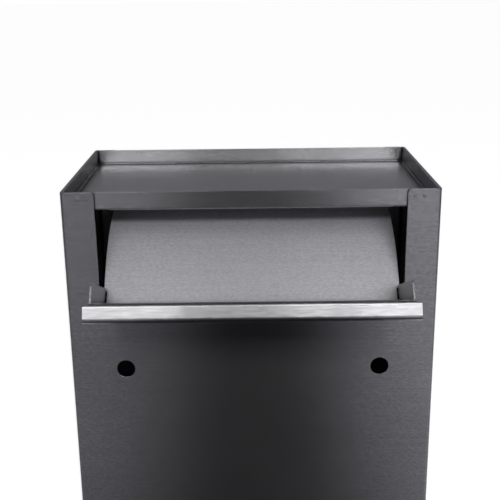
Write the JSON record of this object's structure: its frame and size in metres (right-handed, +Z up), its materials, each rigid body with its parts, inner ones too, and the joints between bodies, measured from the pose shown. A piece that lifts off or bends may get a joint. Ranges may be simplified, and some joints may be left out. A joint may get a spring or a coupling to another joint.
{
  "type": "drop box",
  "caption": "Folded stainless wall drop box with a shallow top tray, a pull-down hopper with a finger lip, and a hinged, lockable access door below.",
  "frame": {"origin": "centre of the base's underside", "axes": "+X to the right seen from the front, +Y to the back, +Z up"},
  "size_m": [0.254, 0.2142, 0.4572],
  "materials": {
    "cabinet_steel": "number 4 brushed stainless, grain level",
    "tray_steel": "number 4 brushed stainless",
    "hopper_steel": "number 4 brushed stainless, grain level",
    "baffle_steel": "number 4 brushed stainless, grain level",
    "hinge_steel": "mill stainless",
    "pin_steel": "drawn stainless wire",
    "door_steel": "number 4 brushed stainless, grain level",
    "rivet_steel": "drawn stainless",
    "lock_chrome": "bright nickel plate",
    "plug_chrome": "satin nickel plate",
    "lock_zinc": "zinc plate"
  },
  "bodies": {
    "cabinet": {"body_shell": "cabinet_steel", "back_panel": "cabinet_steel", "base_pan": "cabinet_steel", "top_tray": "tray_steel", "hopper_hinge_fixed_leaf": "hinge_steel", "hopper_hinge_pin": "pin_steel", "door_keeper": "hinge_steel", "door_hinge_frame_leaf": "hinge_steel", "door_hinge_pin": "pin_steel", "door_hinge_frame_rivets": "rivet_steel"},
    "hopper": {"hopper_flap": "hopper_steel", "hopper_baffle": "baffle_steel", "hopper_hinge_moving_leaf": "hinge_steel"},
    "door": {"access_door": "door_steel", "door_hinge_door_leaf": "hinge_steel", "door_hinge_door_rivets": "rivet_steel", "lock_body": "lock_chrome", "lock_washer": "lock_zinc", "lock_nut": "lock_zinc"},
    "lock": {"lock_plug": "plug_chrome", "lock_cam": "lock_zinc", "cam_screw": "lock_zinc"}
  },
  "joints": [
    {"name": "hopper_hinge", "type": "hinge", "parent": "cabinet", "child": "hopper", "pos_m": [0, -0.0726, 0.3778], "axis": [-1, 0, 0], "range_deg": [0, 67.5]},
    {"name": "door_hinge", "type": "hinge", "parent": "cabinet", "child": "door", "pos_m": [-0.0989, -0.0764, 0.1143], "axis": [0, 0, -1], "range_deg": [0, 120]},
    {"name": "lock_turn", "type": "hinge", "parent": "door", "child": "lock", "pos_m": [0.0781, -0.0762, 0.1143], "axis": [0, 1, 0], "range_deg": [0, 90]}
  ]
}
